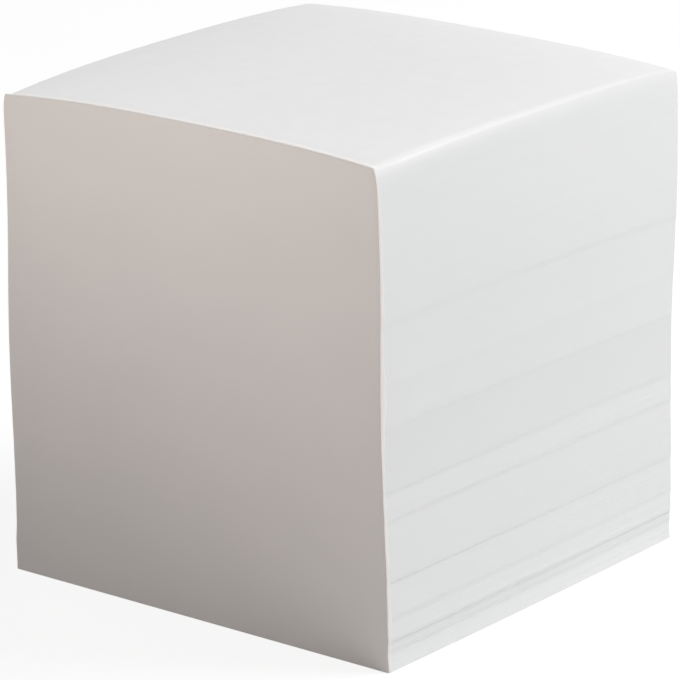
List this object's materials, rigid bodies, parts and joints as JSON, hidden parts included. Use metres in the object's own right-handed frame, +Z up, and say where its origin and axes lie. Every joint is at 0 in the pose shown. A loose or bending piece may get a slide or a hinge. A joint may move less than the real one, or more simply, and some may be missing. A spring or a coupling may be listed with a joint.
{
  "type": "memo cube refill",
  "caption": "Cube-shaped block of plain loose-cut square note sheets, held along one side by a film of padding glue, that refills a desk memo holder.",
  "frame": {"origin": "middle of the flat underside of the sheets", "axes": "+Z up through the stack, the glued side faces -Y, and the cut edges of the sheets face +X, -X and +Y"},
  "size_m": [0.0925, 0.0928, 0.0973],
  "materials": {
    "sheets": "matte",
    "glue": "matte"
  },
  "bodies": {
    "root": {"paper_block": "sheets", "glue_coat": "glue"}
  },
  "joints": []
}
